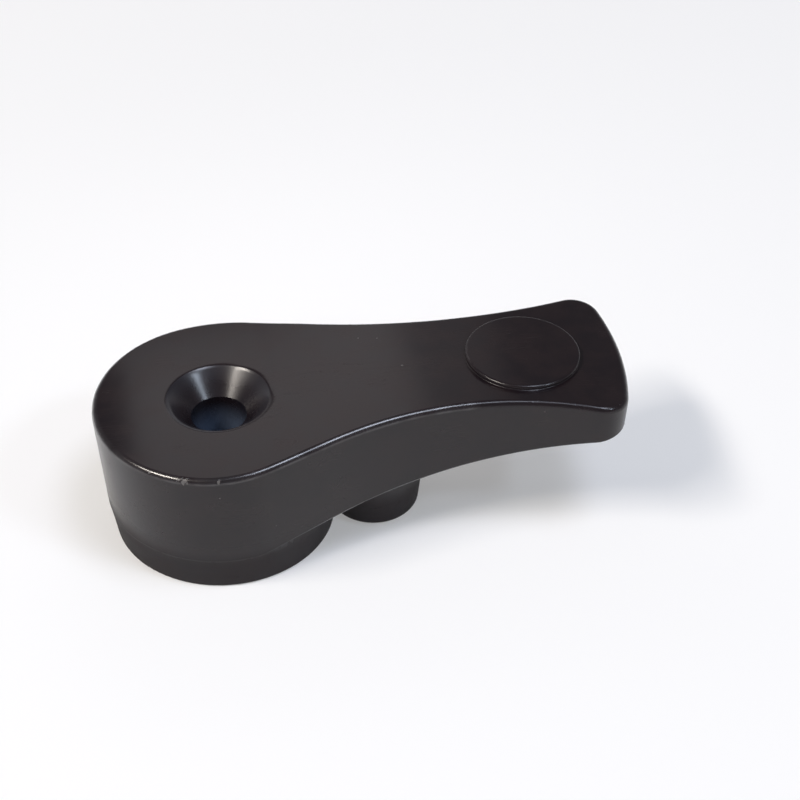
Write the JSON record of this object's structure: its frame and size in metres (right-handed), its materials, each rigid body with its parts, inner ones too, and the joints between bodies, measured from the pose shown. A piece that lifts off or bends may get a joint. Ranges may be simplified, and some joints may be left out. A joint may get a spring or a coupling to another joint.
{
  "type": "clamp knob",
  "caption": "Black cast clamp knob: a round hub with a countersunk screw hole, a waisted lever arm with an arched top and a plain round thumb pad, and a short stop boss under the arm.",
  "frame": {"origin": "on the hub axis, in the plane of the hub's foot", "axes": "+X along the lever from the hub to the tip, +Z along the screw hole, up out of the countersink"},
  "size_m": [0.0524, 0.0246, 0.0176],
  "materials": {
    "black_enamel": "satin black enamel over a casting"
  },
  "bodies": {
    "root": {"clamp_lever": "black_enamel"}
  },
  "joints": []
}
